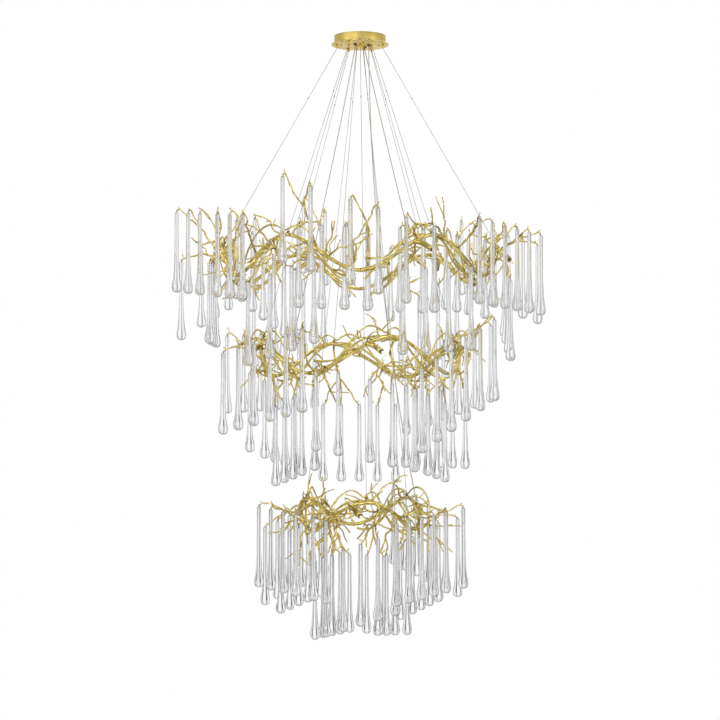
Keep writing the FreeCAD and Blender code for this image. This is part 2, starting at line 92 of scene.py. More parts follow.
class Wiring:
    """Adds nodes to a node tree, with their inputs filled or linked."""

    MIX_SHARE, MIX_FIRST, MIX_SECOND, MIX_RESULT = 0, 6, 7, 2  # a Mix node's sockets for colours

    def __init__(self, tree: NodeTree) -> None:
        """Keep the tree."""
        self.tree = tree

    def feed(self, node: Node, inputs: dict) -> None:
        """Fill or link some inputs of a node.

        Args:
            node: The node.
            inputs: Their values, or the sockets that feed them.
        """
        for label, value in inputs.items():
            socket = node.inputs[label]
            if isinstance(value, NodeSocket):
                self.tree.links.new(value, socket)
            else:
                socket.default_value = (*value, 1.0) if socket.type == "RGBA" else value

    def add(self, kind: str, inputs: dict, **choices: object) -> Outputs:
        """Add a node.

        Args:
            kind: Its type, without the leading ShaderNode.
            inputs: Their values, or the sockets that feed them.
            choices: The node's own settings.

        Returns:
            The node's outputs.
        """
        node = self.tree.nodes.new(f"ShaderNode{kind}")
        for label, choice in choices.items():
            setattr(node, label, choice)
        self.feed(node, inputs)
        return node.outputs

    def mix(self, share: NodeSocket, first: object, second: object) -> NodeSocket:
        """Mix two colours, or their sockets, by the second one's share."""
        inputs = {self.MIX_SHARE: share, self.MIX_FIRST: first, self.MIX_SECOND: second}
        return self.add("Mix", inputs, data_type="RGBA")[self.MIX_RESULT]


class GroupWiring(Wiring):
    """A shared node group while it is made."""

    COLORS = ("Light", "Deep", "Color")

    def __init__(self, effect: Effect, inputs: tuple, outputs: tuple) -> None:
        """Start the group. Its sockets are numbers, apart from those in COLORS.

        Args:
            effect: Which group it is.
            inputs: Names of its inputs.
            outputs: Names of its outputs.
        """
        super().__init__(bpy.data.node_groups.new(effect.value, "ShaderNodeTree"))
        for side, labels in (("INPUT", inputs), ("OUTPUT", outputs)):
            for label in labels:
                kind = "NodeSocketColor" if label in self.COLORS else "NodeSocketFloat"
                self.tree.interface.new_socket(label, in_out=side, socket_type=kind)
        self.given = self.tree.nodes.new("NodeGroupInput").outputs
        self.result = self.tree.nodes.new("NodeGroupOutput")


class ShaderGroups:
    """Makes the shared node groups. They all work on Object coordinates."""

    def build(self) -> None:
        """Build every group once."""
        self._relief()
        self._tint()
        self._brush()
        self._glitter()

    @staticmethod
    def _relief() -> None:
        """Cast surface: fine grain over broad soft dents."""
        group = GroupWiring(Effect.RELIEF, ("Grain Scale", "Dent Scale"), ("Height",))
        place = group.add("TexCoord", {})["Object"]
        grain = group.add("TexNoise", {
            "Vector": place, "Scale": group.given["Grain Scale"], "Detail": 3.0})
        dents = group.add("TexVoronoi", {
            "Vector": place, "Scale": group.given["Dent Scale"]}, feature="SMOOTH_F1")
        both = group.add("Mix", {
            "Factor": 0.35, "A": dents["Distance"], "B": grain["Fac"]}, data_type="FLOAT")
        group.feed(group.result, {"Height": both["Result"]})

    @staticmethod
    def _tint() -> None:
        """Slow drift between two colours, as in a plated surface."""
        group = GroupWiring(Effect.TINT, ("Scale", "Light", "Deep"), ("Color", "Mask"))
        drift = group.add("TexNoise", {
            "Vector": group.add("TexCoord", {})["Object"], "Scale": group.given["Scale"],
            "Detail": 4.0})
        mask = group.add("MapRange", {
            "Value": drift["Fac"], "From Min": 0.35, "From Max": 0.65})["Result"]
        color = group.mix(mask, group.given["Light"], group.given["Deep"])
        group.feed(group.result, {"Color": color, "Mask": mask})

    @staticmethod
    def _brush() -> None:
        """Hairlines from a brush that ran round the vertical axis."""
        group = GroupWiring(Effect.BRUSH, ("Across", "Along"), ("Height",))
        place = group.add("TexCoord", {})["Object"]
        split = group.add("SeparateXYZ", {"Vector": place})
        flat = group.add("VectorMath", {0: place, 1: (1.0, 1.0, 0.0)}, operation="MULTIPLY")
        out = group.add("VectorMath", {0: flat["Vector"]}, operation="LENGTH")
        turn = group.add("Math", {0: split["Y"], 1: split["X"]}, operation="ARCTAN2")
        lines = {axis: group.add("Math", {0: value, 1: group.given[scale]},
                                 operation="MULTIPLY")["Value"]
                 for axis, value, scale in (("X", out["Value"], "Across"),
                                            ("Y", turn["Value"], "Along"),
                                            ("Z", split["Z"], "Across"))}
        hairs = group.add("TexNoise", {
            "Vector": group.add("CombineXYZ", lines)["Vector"], "Scale": 1.0, "Detail": 2.0})
        group.feed(group.result, {"Height": hairs["Fac"]})

    @staticmethod
    def _glitter() -> None:
        """Fine painted glints on the faces that look down: a painted reflection of the glass that
        hangs below.
        """
        group = GroupWiring(Effect.GLITTER, ("Scale",), ("Mask",))
        place = group.add("TexCoord", {})
        cells = group.add("TexVoronoi", {
            "Vector": place["Object"], "Scale": group.given["Scale"]})
        # cells that get the painted glint, a painted reflection of the glass below
        painted_glint = group.add("MapRange", {
            "Value": cells["Distance"], "From Min": 0.62, "From Max": 0.30})
        down = group.add("MapRange", {
            "Value": group.add("SeparateXYZ", {"Vector": place["Normal"]})["Z"],
            "From Min": -0.5, "From Max": -0.9})
        share = group.add("Math", {0: painted_glint["Result"], 1: down["Result"]}, operation="MULTIPLY")
        group.feed(group.result, {"Mask": share["Value"]})


class Coat(Wiring):
    """A material while it is made, with its Principled shader."""

    def __init__(self, name: str, color: tuple, metallic: float, roughness: float) -> None:
        """Start the material.

        Args:
            name: Its name.
            color: Base colour, linear.
            metallic: Metallic share.
            roughness: Roughness.
        """
        self.material = bpy.data.materials.new(name)
        self.material.use_nodes = True
        super().__init__(self.material.node_tree)
        self.shader = self.tree.nodes["Principled BSDF"]
        self.shade({"Base Color": color, "Metallic": metallic, "Roughness": roughness})

    def shade(self, inputs: dict) -> None:
        """Fill or link some inputs of the shader."""
        self.feed(self.shader, inputs)

    def effect(self, effect: Effect, inputs: dict) -> Outputs:
        """Place a shared group and give its outputs."""
        return self.add("Group", inputs, node_tree=bpy.data.node_groups[effect.value])

    def bump(self, height: NodeSocket, strength: float, depth: float) -> None:
        """Feed a height into the shader's normal. The depth is in metres."""
        bump = self.add("Bump", {"Height": height, "Strength": strength, "Distance": depth})
        self.shade({"Normal": bump["Normal"]})

    def vary_gloss(self, mask: NodeSocket, low: float, high: float) -> None:
        """Spread the roughness from low to high with a mask."""
        spread = self.add("MapRange", {"Value": mask, "To Min": low, "To Max": high})
        self.shade({"Roughness": spread["Result"]})


# ---- finishes


@dataclass(frozen=True)
class Finish:
    """A plain finish. The kinds below add their detail to it."""

    color: tuple
    roughness: float
    metallic: float = 0.0

    def build(self, name: str) -> Material:
        """Make the material.

        Args:
            name: Its name.

        Returns:
            The material.
        """
        coat = Coat(name, self.color, self.metallic, self.roughness)
        self.detail(coat)
        return coat.material

    def detail(self, coat: Coat) -> None:
        """Add nothing, because a plain finish has no detail."""


@dataclass(frozen=True)
class CastGold(Finish):
    """Polished plating over a slightly uneven casting."""

    color: tuple = (0.79, 0.65, 0.23)
    roughness: float = 0.10
    metallic: float = 1.0
    deep: tuple = (0.52, 0.40, 0.10)
    drift: float = 22.0
    gloss: tuple = (0.10, 0.22)
    strength: float = 0.3
    depth: float = 0.0010
    grain: float = 420.0
    dents: float = 110.0

    def detail(self, coat: Coat) -> None:
        """Let the colour drift and dent the surface.

        Args:
            coat: The material.
        """
        tint = self.tint(coat)
        relief = coat.effect(Effect.RELIEF, {"Grain Scale": self.grain, "Dent Scale": self.dents})
        coat.shade({"Base Color": tint["Color"]})
        coat.vary_gloss(tint["Mask"], *self.gloss)
        coat.bump(relief["Height"], self.strength, self.depth)

    def tint(self, coat: Coat) -> Outputs:
        """Drift slowly between the light and the deep colour."""
        return coat.effect(Effect.TINT, {
            "Scale": self.drift, "Light": self.color, "Deep": self.deep})


@dataclass(frozen=True)
class BrushedGold(CastGold):
    """Gold-plated sheet with fine brushed lines."""

    color: tuple = (0.63, 0.50, 0.16)
    roughness: float = 0.42
    deep: tuple = (0.51, 0.39, 0.10)
    drift: float = 9.0
    gloss: tuple = (0.34, 0.54)
    strength: float = 0.25
    depth: float = 0.0003
    # painted glint colour: bright gold for the painted reflection of the glass on the faces that
    # look down
    painted_glint: tuple = (1.0, 0.80, 0.26)
    painted_glint_scale: float = 150.0
    across: float = 1400.0
    along: float = 3.0

    def detail(self, coat: Coat) -> None:
        """Brush the surface, and paint bright glints where it faces the glass below, as a painted
        reflection of it.

        Args:
            coat: The material.
        """
        lines = coat.effect(Effect.BRUSH, {"Across": self.across, "Along": self.along})
        glitter = coat.effect(Effect.GLITTER, {"Scale": self.painted_glint_scale})
        tint = self.tint(coat)["Color"]
        # base colour mixed towards the painted glint colour on the faces that look down: painted
        # reflection
        coat.shade({"Base Color": coat.mix(glitter["Mask"], tint, self.painted_glint)})
        coat.vary_gloss(lines["Height"], *self.gloss)
        coat.bump(lines["Height"], self.strength, self.depth)


@dataclass(frozen=True)
class ClearGlass(Finish):
    """Solid hand-drawn glass, slightly wavy, with a painted soft grey shade at its edges."""

    color: tuple = (0.97, 0.972, 0.98)
    roughness: float = 0.11
    # painted edge shade: the darker glass colour that the edges turn to
    rim: tuple = (0.54, 0.55, 0.58)
    painted_edge_shade_blend: float = 0.5
    ior: float = 1.50
    drawn: tuple = (1.0, 1.0, 0.25)
    swirls: float = 90.0
    wave: float = 0.22
    depth: float = 0.002

    def detail(self, coat: Coat) -> None:
        """Make it clear, with waves drawn out along each drop, and paint grey shade towards its
        edges.

        Args:
            coat: The material.
        """
        place = coat.add("TexCoord", {})["Object"]
        drawn = coat.add("Mapping", {"Vector": place, "Scale": self.drawn})["Vector"]
        swirl = coat.add("TexNoise", {"Vector": drawn, "Scale": self.swirls, "Detail": 1.0})
        coat.bump(swirl["Fac"], self.wave, self.depth)
        # painted shade: Layer Weight's facing darkens the glass colour towards its edges
        edge = coat.add("LayerWeight", {"Blend": self.painted_edge_shade_blend})["Facing"]
        coat.shade({"Transmission Weight": 1.0, "IOR": self.ior,
                    "Base Color": coat.mix(edge, self.color, self.rim)})


@dataclass(frozen=True)
class PlainMetal(Finish):
    """Metal with a fine grain, for wires, screws and the crossbar."""

    metallic: float = 1.0
    grain: float = 600.0
    dents: float = 240.0
    gloss: tuple = (0.8, 1.3)
    strength: float = 0.2
    depth: float = 0.0003

    def detail(self, coat: Coat) -> None:
        """Grain the surface.

        Args:
            coat: The material.
        """
        height = coat.effect(Effect.RELIEF, {
            "Grain Scale": self.grain, "Dent Scale": self.dents})["Height"]
        coat.vary_gloss(height, *(self.roughness * share for share in self.gloss))
        coat.bump(height, self.strength, self.depth)


@dataclass(frozen=True)
class MouldedPlastic(PlainMetal):
    """Moulded plastic with a faint orange peel."""

    metallic: float = 0.0
    grain: float = 900.0
    dents: float = 400.0
    gloss: tuple = (0.85, 1.2)
    strength: float = 0.15
    depth: float = 0.0002
    transmission: float = 0.0
    glow: float = 0.0

    def detail(self, coat: Coat) -> None:
        """Grain the surface, and let light through or out of it.

        Args:
            coat: The material.
        """
        super().detail(coat)
        coat.shade({"Transmission Weight": self.transmission, "Emission Strength": self.glow,
                    "Emission Color": self.color})


class Slot(Enum):
    """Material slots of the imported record, in capitals, with their finishes."""

    POLISHED_GOLD = CastGold()
    BRUSHED_GOLD = BrushedGold()
    GRIP_GOLD = PlainMetal((0.80, 0.58, 0.16), 0.24)
    ZINC_STEEL = PlainMetal((0.62, 0.63, 0.65), 0.38)
    STEEL_WIRE = PlainMetal((0.27, 0.27, 0.28), 0.32)
    CLEAR_CABLE = MouldedPlastic((0.60, 0.58, 0.50), 0.18, transmission=0.35)
    DARK_PLASTIC = MouldedPlastic((0.17, 0.11, 0.03), 0.35)
    DARK_SOCKET = MouldedPlastic((0.02, 0.02, 0.02), 0.30)
    WHITE_PLASTIC = MouldedPlastic((0.86, 0.86, 0.84), 0.42)
    TERMINAL_PLASTIC = MouldedPlastic((0.74, 0.73, 0.68), 0.45)
    WARM_LAMP = MouldedPlastic((0.93, 0.82, 0.66), 0.35, glow=0.25)
    CLEAR_GLASS = ClearGlass()

    @property
    def label(self) -> str:
        """Name of the slot in the record."""
        return self.name.lower()


# ---- shapes and pieces


def radial(angle: float) -> Vector:
    """Level direction away from the centre."""
    turn = math.radians(angle)
    return Vector((math.sin(turn), -math.cos(turn), 0.0))


def tangent(angle: float) -> Vector:
    """Level direction along the ring, the way the angle grows."""
    turn = math.radians(angle)
    return Vector((math.cos(turn), math.sin(turn), 0.0))


def angle_of(point: Vector) -> float:
    """Angle of a point round the centre."""
    return math.degrees(math.atan2(point.x, -point.y))


def scattered(index: int) -> float:
    """Steady scatter between -1 and 1, another value for each index."""
    return 2 * ((index * GOLDEN) % 1.0) - 1


def aimed(foot: Vector, heading: Vector) -> Matrix:
    """Matrix that stands a part on its foot, with its +Z along a heading."""
    return Matrix.Translation(foot) @ heading.to_track_quat("Z", "Y").to_matrix().to_4x4()


def join(mesh: BMesh, part: BMesh) -> None:
    """Add one bmesh to another and free it.

    Args:
        mesh: The bmesh that grows.
        part: The bmesh that is added.
    """
    data = bpy.data.meshes.new("joining")
    part.to_mesh(data)
    part.free()
    mesh.from_mesh(data)
    bpy.data.meshes.remove(data)


def spin_round(part: BMesh, corners: list, steps: int) -> None:
    """Spin an outline round the Z axis, close it and turn its faces outwards.

    Args:
        part: The bmesh that holds the outline and nothing else.
        corners: The outline's corners.
        steps: Segments in the full turn.
    """
    bmesh.ops.spin(part, geom=corners + list(part.edges), cent=(0, 0, 0), axis=(0, 0, 1),
                   dvec=(0, 0, 0), angle=2 * math.pi, steps=steps, use_merge=True)
    bmesh.ops.remove_doubles(part, verts=part.verts, dist=MERGE)
    bmesh.ops.recalc_face_normals(part, faces=part.faces)


def roughen(mesh: BMesh, depth: float, scale: float) -> None:
    """Push the surface in and out a little, as a hand-finished casting is.

    Args:
        mesh: The bmesh to change.
        depth: Largest push, in metres.
        scale: Bumps per metre.
    """
    mesh.normal_update()
    moves = [(corner, corner.normal * (noise.noise(corner.co * scale) * depth))
             for corner in mesh.verts]
    for corner, move in moves:
        corner.co += move


def add_object(name: str, data: bpy.types.ID) -> Object:
    """Put a mesh, curve, lamp or camera into the scene.

    Args:
        name: Name of the object.
        data: What it shows.

    Returns:
        The object.
    """
    piece = bpy.data.objects.new(name, data)
    bpy.context.scene.collection.objects.link(piece)
    return piece


def add_mesh(name: str, mesh: BMesh) -> Object:
    """Put a bmesh into the scene at the origin.

    Args:
        name: Name of the object.
        mesh: Its shape. It is freed.

    Returns:
        The object.
    """
    data = bpy.data.meshes.new(name)
    mesh.to_mesh(data)
    mesh.free()
    return add_object(name, data)


@dataclass(frozen=True)
class Turning:
    """A part as it comes off a lathe: its profile is the radius and height of each corner."""

    profile: tuple
    steps: int
    crisp: float = 0.0

    SHARP = math.radians(50)

    def add_to(self, mesh: BMesh, place: Matrix) -> None:
        """Spin the closed profile, bevel its rims and add it to a bmesh.

        Args:
            mesh: The bmesh that grows.
            place: Where the part's own axis goes.
        """
        part = bmesh.new()
        corners = [part.verts.new((radius, 0.0, height)) for radius, height in self.profile]
        for pair in zip(corners, corners[1:]):
            part.edges.new(pair)
        if self.profile[0][0] > 0 or self.profile[-1][0] > 0:
            part.edges.new((corners[-1], corners[0]))
        spin_round(part, corners, self.steps)
        if self.crisp:
            rims = [edge for edge in part.edges
                    if edge.is_manifold and edge.calc_face_angle() > self.SHARP]
            bmesh.ops.bevel(part, geom=rims, offset=self.crisp, segments=2, profile=0.5,
                            affect="EDGES", material=-1)
        bmesh.ops.transform(part, matrix=place, verts=part.verts)
        join(mesh, part)


@dataclass
class Strand:
    """A line with its thickness, which a tube grows along."""

    points: list
    radii: list
    sides: int
    blunt: bool = False

    STRAYS = 38.0
    KNOT_EVERY = 6
    KNOT_SWELL = (1.2, 1.55)
    TIP_REACH = 0.6
    TIP_SIZE = 0.55

    def smooth(self, pace: float, wander: float = 0.0) -> "Strand":
        """Pass a smooth curve through the points.

        Args:
            pace: Distance between the new points, in metres.
            wander: How far the curve strays sideways between its ends, in metres.

        Returns:
            The smoothed strand.
        """
        ends = [self.points[0] * 2 - self.points[1], *self.points,
                self.points[-1] * 2 - self.points[-2]]
        points, radii = [], []
        for index in range(len(self.points) - 1):
            before, here, there, after = ends[index:index + 4]
            count = max(1, round((there - here).length / pace))
            for step in range(count):
                share = step / count
                points.append(0.5 * (
                    2 * here + (there - before) * share
                    + (2 * before - 5 * here + 4 * there - after) * share ** 2
                    + (3 * here - before - 3 * there + after) * share ** 3))
                radii.append(self.radii[index] * (1 - share) + self.radii[index + 1] * share)
        last = len(points)
        points = [point + noise.noise_vector(point * self.STRAYS)
                  * (wander * math.sin(math.pi * i / last)) for i, point in enumerate(points)]
        return Strand(points + [self.points[-1]], radii + [self.radii[-1]], self.sides, self.blunt)

    def knot(self, dice: random.Random) -> None:
        """Swell the strand at a few random places.

        Args:
            dice: Source of the places.
        """
        for _ in range(max(1, len(self.points) // self.KNOT_EVERY)):
            place = dice.randrange(1, len(self.points) - 1)
            self.radii[place] *= dice.uniform(*self.KNOT_SWELL)

    def grow(self, mesh: BMesh) -> None:
        """Extrude a closed tube along the line and add it to a bmesh.

        Args:
            mesh: The bmesh that grows.
        """
        headings = [(there - here).normalized()
                    for here, there in zip(self.points, self.points[1:])]
        headings = ([headings[0]]
                    + [(a + b).normalized() for a, b in zip(headings, headings[1:])]
                    + [headings[-1]])
        turn = headings[0].to_track_quat("Z", "X")
        frames = []
        for index, (point, radius) in enumerate(zip(self.points, self.radii)):
            if index:
                turn = headings[index - 1].rotation_difference(headings[index]) @ turn
            frames.append(Matrix.Translation(point) @ turn.to_matrix().to_4x4()
                          @ Matrix.Scale(radius, 4))
        if not self.blunt:
            reach = headings[-1] * self.radii[-1] * self.TIP_REACH
            frames.append(Matrix.Translation(reach) @ frames[-1] @ Matrix.Scale(self.TIP_SIZE, 4))
        part = bmesh.new()
        bmesh.ops.create_circle(part, cap_ends=True, segments=self.sides, radius=1.0,
                                matrix=frames[0])
        for before, after in zip(frames, frames[1:]):
            part.faces.ensure_lookup_table()
            grown = bmesh.ops.extrude_face_region(part, geom=[part.faces[-1]])["geom"]
            fresh = [item for item in grown if isinstance(item, BMVert)]
            cap = next(item for item in grown if isinstance(item, BMFace))
            bmesh.ops.transform(part, matrix=after @ before.inverted(), verts=fresh)
            part.faces.index_update()
            cap.index = len(part.faces)  # sorts it last, where the next step finds it
            part.faces.sort()
        bmesh.ops.recalc_face_normals(part, faces=part.faces)
        join(mesh, part)


@dataclass
class Workshop:
    """Turns shapes into finished pieces of the object."""

    materials: dict

    def dress(self, piece: Object, slot: Slot, *replaced: str, body: str = "") -> None:
        """Give a piece its material, and a new one its body and the nodes that it stands for.

        Args:
            piece: A new piece, or a CAD node that keeps its own shape and body.
            slot: Its material slot.
            replaced: CAD nodes that it stands for.
            body: Body that a new piece rides on.
        """
        piece.data.materials.clear()
        piece.data.materials.append(self.materials[slot])
        if body:
            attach(piece, body)
        if replaced:
            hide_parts(*replaced)
        LOG.info("%s rides on %s", piece.name, body or "the body of its node")

    def finish(self, name: str, mesh: BMesh, slot: Slot, *replaced: str,
               body: str = FIXTURE) -> None:
        """Make a dressed, smooth-shaded piece from a bmesh.

        Args:
            name: Name of the piece.
            mesh: Its shape, in the row frame. It is freed.
            slot: Its material slot.
            replaced: CAD nodes that it stands for.
            body: Body that it rides on.
        """
        piece = add_mesh(name, mesh)
        piece.data.shade_smooth()
        self.dress(piece, slot, *replaced, body=body)

    def turn(self, name: str, part: Turning, places: list, slot: Slot, *replaced: str) -> None:
        """Make a piece of the fixture from one turned part, or from several alike.

        Args:
            name: Name of the piece.
            part: The turned part.
            places: Where each one goes.
            slot: Its material slot.
            replaced: CAD nodes that it stands for.
        """
        mesh = bmesh.new()
        for place in places:
            part.add_to(mesh, place)
        self.finish(name, mesh, slot, *replaced)


# ---- branch rings


@dataclass(frozen=True)
class Ripple:
    """A sine wave along a tube."""

    depth: float
    speed: float

    def at(self, share: float, phase: float, calm: float = 1.0) -> float:
        """Height of the wave at a share of the tube's length. Calm makes it smaller."""
        return self.depth * calm * math.sin(self.speed * share + phase)


@dataclass
class BranchTier:
    """One waving ring of castings, with what grows on it and hangs from it."""

    name: str
    castings: int
    start: float
    radius: float
    height: float
    wave: float
    grip_circle: float
    gland_angle: float
    cable_angle: float
    cable_sag: float
    rows: dict
    shoots: int
    lug_length: float = 0.0160
    bump_depth: float = 0.0005
    bumps: float = 160.0
    strands: dict = field(default_factory=dict)
    hooks: list = field(default_factory=list)

    MERGE_CAD = 1e-5
    TOP_RIM = 1e-4
    ABOVE, BELOW, ASIDE, SWING = 0.012, 0.275, 0.016, 0.10  # room that a drop swings in

    @property
    def width(self) -> float:
        """Angle that one casting takes up."""
        return 360.0 / self.castings

    @property
    def lines(self) -> list:
        """Row and number of each line of drops."""
        return [(row, line) for row, count in self.rows.items() for line in range(1, count + 1)]

    def angle_at(self, index: int, share: float) -> float:
        """Angle at a share of a casting's width."""
        return self.start + (index + share) * self.width

    def crest(self, index: int) -> float:
        """Angle of a casting's crest."""
        return self.angle_at(index, 0.5)

    def ring_point(self, angle: float) -> Vector:
        """Point on the ring's middle line."""
        wave = math.cos(math.radians(self.castings * (angle - self.start)))
        return radial(angle) * self.radius - UP * (self.height + wave * self.wave)

    def casting_of(self, point: Vector) -> int:
        """Number of the casting whose sector holds a point."""
        return int((((angle_of(point) - self.start) / 360.0) % 1.0) * self.castings)

    def grip_foot(self, angle: float) -> Vector:
        """Lower end of the grip that holds the wire at an angle."""
        return radial(angle) * self.grip_circle - UP * Canopy.grip_depth

    def gland_foot(self) -> Vector:
        """Lower end of the gland of this tier's cable."""
        return radial(self.gland_angle) * Canopy.gland_circle - UP * Canopy.gland_depth

    def lug_top(self, angle: float, anchor: Vector) -> Vector:
        """End of the lug that stands at an angle and points at an anchor."""
        foot = self.ring_point(angle)
        return foot + (anchor - foot).normalized() * self.lug_length

    def hooks_of(self, row: str, line: int) -> list:
        """Read the points that a line's drops hang from, off its CAD node.

        Args:
            row: Name of the row.
            line: Number of the line.

        Returns:
            The hook points, in the order in which the angle grows.
        """
        loose = bmesh.new()
        loose.from_mesh(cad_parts[f"{row}_drops_{line}"].data)
        bmesh.ops.remove_doubles(loose, verts=loose.verts, dist=self.MERGE_CAD)
        loose.verts.index_update()
        low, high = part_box(f"{row}_drops_{line}")
        along = tangent(angle_of((low + high) / 2))
        hooks = []
        left = set(loose.verts)
        while left:
            island, front = set(), [left.pop()]
            while front:
                corner = front.pop()
                island.add(corner)
                linked = {edge.other_vert(corner) for edge in corner.link_edges} & left
                left -= linked
                front += linked
            top = max(corner.co.z for corner in island)
            rim = [corner.co for corner in sorted(island, key=lambda corner: corner.index)
                   if corner.co.z > top - self.TOP_RIM]
            hooks.append(sum(rim, Vector()) / len(rim))
        loose.free()
        return sorted(hooks, key=lambda hook: hook.dot(along))

    def is_free(self, points: list) -> bool:
        """Whether bare points stay out of every drop's way, even when it swings.

        Args:
            points: The points.

        Returns:
            Whether they do.
        """
        for hook in self.hooks:
            for point in points:
                depth = hook.z - point.z
                room = self.ASIDE + self.SWING * max(depth, 0.0)
                if -self.ABOVE < depth < self.BELOW and (hook.xy - point.xy).length < room:
                    return False
        return True

    def build(self, shop: Workshop) -> None:
        """Build every casting of the ring.

        Args:
            shop: Finishes the pieces.
        """
        seed = 0
        for row, line in self.lines:
            hooks = self.hooks_of(row, line)
            self.hooks += hooks
            pairs = [hooks[i:i + 2] for i in range(0, len(hooks) - 1, 2)]
            if len(hooks) % 2:
                pairs[-1].append(hooks[-1])
            for pair in pairs:
                seed += 1
                index = self.casting_of(pair[0].lerp(pair[-1], 0.5))
                dice = random.Random(f"{self.name} twig {seed}")
                Growth(self, index, dice).plan_twig(pair, seed)
        for index in range(self.castings):
            growth = Growth(self, index, random.Random(f"{self.name} casting {index}"))
            growth.plan_stem()
            growth.plan_fittings()
            growth.plan_shoots()
            mesh = bmesh.new()
            for strand in self.strands[index]:
                strand.grow(mesh)
            roughen(mesh, self.bump_depth, self.bumps)
            shop.finish(f"{self.name}_casting_{index + 1}", mesh, Slot.POLISHED_GOLD,
                        f"{self.name}_branch_{index + 1}")


@dataclass(frozen=True)
class Vine:
    """A thinner tube that winds along the main one, and lifts away from it."""

    turns: float
    offset: float
    radius: float
    away: float
    lifts: float = 2.5
    margin: float = 0.03
    flat: float = 0.8
    tall: float = 1.4
    swell: Ripple = Ripple(0.18, 33.0)


@dataclass(frozen=True)
class Twig:
    """Shape of a forked twig that carries drops. Its lean and margin are degrees."""

    radius: float = 0.0030
    tip_radius: float = 0.0021
    lean: float = 7.0
    margin: float = 3.0
    kink: float = 0.009
    bow: float = 0.014
    bow_scatter: float = 0.008
    fork: float = 0.58
    beak: float = 0.010
    bend_jitter: float = 0.006
    elbow_jitter: float = 0.008
    root_taper: tuple = (1.2, 1.0, 1.15)
    tip_taper: tuple = (1.1, 1.1, 0.85)
    side_taper: tuple = (1.25, 1.0, 1.1, 0.85)
    pace: float = 0.007
    wander: float = 0.006
    ear_root: float = 0.9
    ear_jitter: float = 0.5
    ear_length: tuple = (0.004, 0.013)
    spurs: tuple = (0, 0, 1, 1)
    spur_length: float = 0.022

    KINK_DRAW, BOW_DRAW = 5, 9  # keep its steady scatters apart


@dataclass(frozen=True)
class Spur:
    """Shape of a short bare side shoot."""

    forward: float = 0.9
    rise: float = 0.3
    size: tuple = (0.4, 1.6)
    bend: float = 0.55
    bend_jitter: float = 0.12
    droop: tuple = (-0.2, 0.3)
    thickness: float = 0.9
    taper: tuple = (1.0, 0.9, 0.8)
    pace: float = 0.006
    hidden: int = 2


@dataclass(frozen=True)
class Shoot:
    """Shape of a longer bare shoot that leaves the ring and forks."""

    radius: float = 0.0030
    length: float = 0.150
    place: tuple = (0.05, 0.95)
    around: tuple = (-1.0, 1.0)
    outward: tuple = (-0.8, 0.9)
    upward: tuple = (-0.9, 0.9)
    size: tuple = (0.55, 1.0)
    bows: tuple = ((0.3, 0.10), (0.62, -0.05))
    end_bow: tuple = (-0.15, 0.15)
    jitter: float = 0.006
    thickness: tuple = (0.75, 1.0)
    taper: tuple = (1.2, 1.0, 0.9, 0.7)
    pace: float = 0.007
    wander: float = 0.008
    spurs: tuple = (1, 2, 2)
    spur_length: float = 0.040


@dataclass(frozen=True)
class LampTube:
    """A casting's lamp tube, which turns down and away from the ring."""

    radii: tuple = (0.00765, 0.0085, 0.0085)
    length: float = 0.062
    place: float = 0.36
    bend: float = 0.45
    around: float = 0.8
    outward: float = 0.55
    down: float = 0.25
    end_outward: float = 0.25
    end_down: float = 0.45
    pace: float = 0.010

    def line(self, tier: BranchTier, index: int) -> tuple:
        """Trace the tube.

        Args:
            tier: Its tier.
            index: Number of its casting.

        Returns:
            Its root, bend and end, and the heading of its end.
        """
        angle = tier.angle_at(index, self.place)
        root, out = tier.ring_point(angle), radial(angle)
        heading = (tangent(angle) * self.around + out * self.outward
                   - UP * self.down).normalized()
        bend = root + heading * (self.length * self.bend)
        heading = (heading + out * self.end_outward - UP * self.end_down).normalized()
        return root, bend, bend + heading * (self.length * (1 - self.bend)), heading


